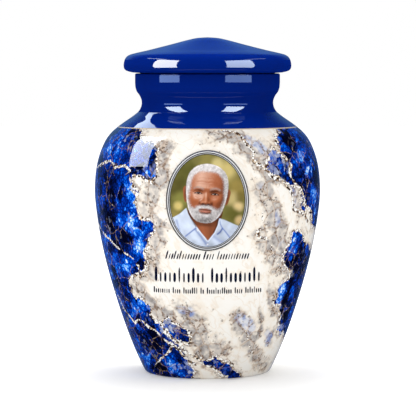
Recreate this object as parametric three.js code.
// Cremation urn: a hollow baluster vessel, a domed lift-off lid and an oval portrait medallion on the front.
// Millimetres, +Z up, origin at the centre of the underside, front towards -Y.
import * as THREE from 'three';

// Driving dimensions
const WALL = 3; // metal thickness of the vessel and of the lid
const GAP = 0.3; // clearance between pieces that touch
const SEGMENTS = 56; // facets round the axis

const FOOT_INNER_RADIUS = 38.5; // the foot ring stands on this to the first body station
const FOOT_RECESS = 1.5; // depth of the hollow under the base
const NECK_TOP = 226.7;
const NECK_RADIUS = 54.9;

const LID_TOP = 254;
const LID_RIM_RADIUS = 63.5;
const PLUG_CLEARANCE = 1; // between the lid's plug collar and the neck's bore
const PLUG_WALL = 3;
const PLUG_DEPTH = 9.7; // how far the plug collar reaches below the top of the neck

const MEDALLION_Z = 135.3; // height of the portrait's centre
const MEDALLION_HALF_WIDTH = 29.8;
const MEDALLION_HALF_HEIGHT = 36.3;
const BEZEL_WIDTH = 2.9;
const MEDALLION_SEGMENTS = 48;

// Outside of the vessel, foot to neck, as [radius, height]
const BODY_STATIONS = [
  [45.4, 0], [47.2, 0.6], [48.4, 2.2], [50.8, 7], [56.2, 19], [64.1, 40], [74, 72], [79.9, 96], [83.9, 119],
  [85.6, 139], [83.4, 160], [77.4, 176], [72, 183], [64.4, 189], [55.8, 195], [52.2, 198], [50.1, 201.4],
  [49.9, 206.4], [51.4, 210], [53.6, 212.7], [54.8, 216], [55.1, 219], [NECK_RADIUS, 222.5],
  [NECK_RADIUS, NECK_TOP - 1], [NECK_RADIUS - 0.3, NECK_TOP - 0.3], [NECK_RADIUS - 1, NECK_TOP],
];

// Outside of the lid, crown to the inner edge of its rolled rim, as [radius, height]
const LID_STATIONS = [
  [0, LID_TOP], [8.2, 253.4], [15.2, 251.9], [26.5, 248.9], [44.6, 244.3], [54.6, 242], [59.3, 240.6],
  [61.6, 238.9], [62.9, 236.4], [LID_RIM_RADIUS, 232.9], [63.1, 230.4], [61.9, 229], [59.6, 228.1], [56.6, 227.4],
];

// How far the faceted outlines may stray from the smooth ones
const OUTSIDE_TOLERANCE = 0.16;
const INSIDE_TOLERANCE = 0.6;

const point = (radius, height) => new THREE.Vector2(radius, height);

// A smooth outline through the stations, as closely spaced points
function outline(stations) {
  const knots = stations.map(([radius, height]) => new THREE.Vector3(radius, height, 0));
  const curve = new THREE.CatmullRomCurve3(knots, false, 'centripetal');
  return curve.getPoints(20 * (stations.length - 1)).map((p) => point(p.x, p.y));
}

// The outline moved sideways: to the left of its direction where the distance is positive
function offset(points, distance) {
  return points.map((p, i) => {
    const before = points[Math.max(i - 1, 0)];
    const after = points[Math.min(i + 1, points.length - 1)];
    const along = after.clone().sub(before).normalize();
    return point(p.x - along.y * distance, p.y + along.x * distance);
  });
}

// Leaves out the points that a straight facet replaces within the tolerance
function thin(points, tolerance) {
  const first = points[0];
  const last = points[points.length - 1];
  const along = last.clone().sub(first).normalize();
  let farthest = 0;
  let reach = tolerance;
  points.slice(1, -1).forEach((p, i) => {
    const away = Math.abs(p.clone().sub(first).cross(along));
    if (away > reach) {
      reach = away;
      farthest = i + 1;
    }
  });
  if (farthest === 0) return [first, last];
  const lower = thin(points.slice(0, farthest + 1), tolerance);
  return [...lower.slice(0, -1), ...thin(points.slice(farthest), tolerance)];
}

// The outline in facets, with its widest point kept
function facets(points) {
  const radii = points.map((p) => p.x);
  const widest = radii.indexOf(Math.max(...radii));
  const lower = thin(points.slice(0, widest + 1), OUTSIDE_TOLERANCE);
  return [...lower.slice(0, -1), ...thin(points.slice(widest), OUTSIDE_TOLERANCE)];
}

// A profile turned about the vertical axis
function turned(profile) {
  return new THREE.LatheGeometry(profile, SEGMENTS).rotateX(Math.PI / 2);
}

function mesh(name, geometry, color, roughness, metalness) {
  const made = new THREE.Mesh(geometry, new THREE.MeshStandardMaterial({ color, roughness, metalness }));
  made.name = name;
  return made;
}

// Vessel: one wall from the foot to the neck, open at the top, with a floor above a shallow foot ring
const skin = outline(BODY_STATIONS);

function vessel() {
  const floor = FOOT_RECESS + WALL;
  const fillet = 3;
  const inside = thin(offset(skin, WALL).filter((p) => p.y > floor + fillet), INSIDE_TOLERANCE);
  const corner = inside[0].x;
  const lip = point(NECK_RADIUS - WALL, NECK_TOP);
  const inner = [lip, ...inside.filter((p) => p.y < NECK_TOP - WALL).reverse()];
  return turned([
    point(0, FOOT_RECESS),
    point(FOOT_INNER_RADIUS - FOOT_RECESS, FOOT_RECESS),
    point(FOOT_INNER_RADIUS, 0),
    ...facets(skin),
    ...inner,
    point(corner - 0.4 * fillet, floor + 0.3 * fillet),
    point(corner - fillet, floor),
    point(0, floor),
  ]);
}

// Lid: a dome with a rounded rim, hollow inside, and a plug collar that drops into the neck
function lid() {
  const bearing = NECK_TOP + GAP;
  const plugOutside = NECK_RADIUS - WALL - PLUG_CLEARANCE;
  const plugInside = plugOutside - PLUG_WALL;
  const plugBottom = NECK_TOP - PLUG_DEPTH;
  const ledgeTop = bearing + WALL;
  const outside = outline(LID_STATIONS);
  const inside = offset(outside, -WALL).filter((p) => p.x > 0 && p.y > ledgeTop + 0.5);
  inside[0].x = 0;
  return turned([
    ...thin(inside, INSIDE_TOLERANCE),
    point(inside[inside.length - 1].x - 1, ledgeTop),
    point(plugInside, ledgeTop),
    point(plugInside, plugBottom),
    point(plugOutside - 0.5, plugBottom),
    point(plugOutside, plugBottom + 0.5),
    point(plugOutside, bearing),
    ...facets(outside).reverse(),
  ]);
}

// A point on the front of the vessel at a distance from the centre line and a height, lifted off its skin
function onFront(x, height, lift) {
  const above = skin.findIndex((p) => p.y > height);
  const low = skin[above - 1];
  const high = skin[above];
  const slope = (high.x - low.x) / (high.y - low.y);
  const radius = low.x + slope * (height - low.y);
  const y = -Math.sqrt(radius * radius - x * x);
  const normal = new THREE.Vector3(x / radius, y / radius, -slope).normalize();
  return new THREE.Vector3(x, y, height).addScaledVector(normal, lift);
}

// Bends a flat turned shape, whose axis is its thickness, on to the front of the vessel
function bent(profile, place) {
  const geometry = new THREE.LatheGeometry(profile, MEDALLION_SEGMENTS);
  const at = geometry.attributes.position;
  for (let i = 0; i < at.count; i += 1) {
    const [x, rise] = place(at.getX(i), at.getZ(i));
    const p = onFront(x, MEDALLION_Z - rise, at.getY(i));
    at.setXYZ(i, p.x, p.y, p.z);
  }
  return geometry;
}

// Bezel: an oval ring of even width with a rounded front
function portraitBezel() {
  const outer = MEDALLION_HALF_WIDTH;
  const inner = outer - BEZEL_WIDTH;
  const longer = MEDALLION_HALF_HEIGHT - MEDALLION_HALF_WIDTH;
  const section = [
    point(inner, GAP),
    point(outer, GAP),
    point(outer, 1),
    point(outer - 0.5, 1.5),
    point((outer + inner) / 2, 1.8),
    point(inner + 0.4, 1.5),
    point(inner, 1),
    point(inner, GAP),
  ];
  return bent(section, (x, rise) => [x, rise + (longer * rise) / Math.hypot(x, rise)]);
}

// Plaque: a thin, slightly domed oval plate inside the bezel
function portraitPlaque() {
  const halfWidth = MEDALLION_HALF_WIDTH - BEZEL_WIDTH - GAP;
  const halfHeight = MEDALLION_HALF_HEIGHT - BEZEL_WIDTH - GAP;
  const edge = 0.9;
  const crown = 1.3;
  const steps = [1, 0.75, 0.5, 0.25];
  const back = steps.slice().reverse().map((s) => point(s * halfWidth, GAP));
  const front = steps.map((s) => point(s * halfWidth, crown - (crown - edge) * s * s));
  const profile = [point(0, GAP), ...back, ...front, point(0, crown)];
  return bent(profile, (x, rise) => [x, (rise * halfHeight) / halfWidth]);
}

const urn = new THREE.Group();
urn.add(
  mesh('vessel', vessel(), 0x8fa3cf, 0.15, 0.1),
  mesh('lid', lid(), 0x04298a, 0.12, 0.1),
  mesh('portrait_bezel', portraitBezel(), 0xc9ccd0, 0.25, 1),
  mesh('portrait_plaque', portraitPlaque(), 0x8a8f66, 0.1, 0),
);

export default urn;
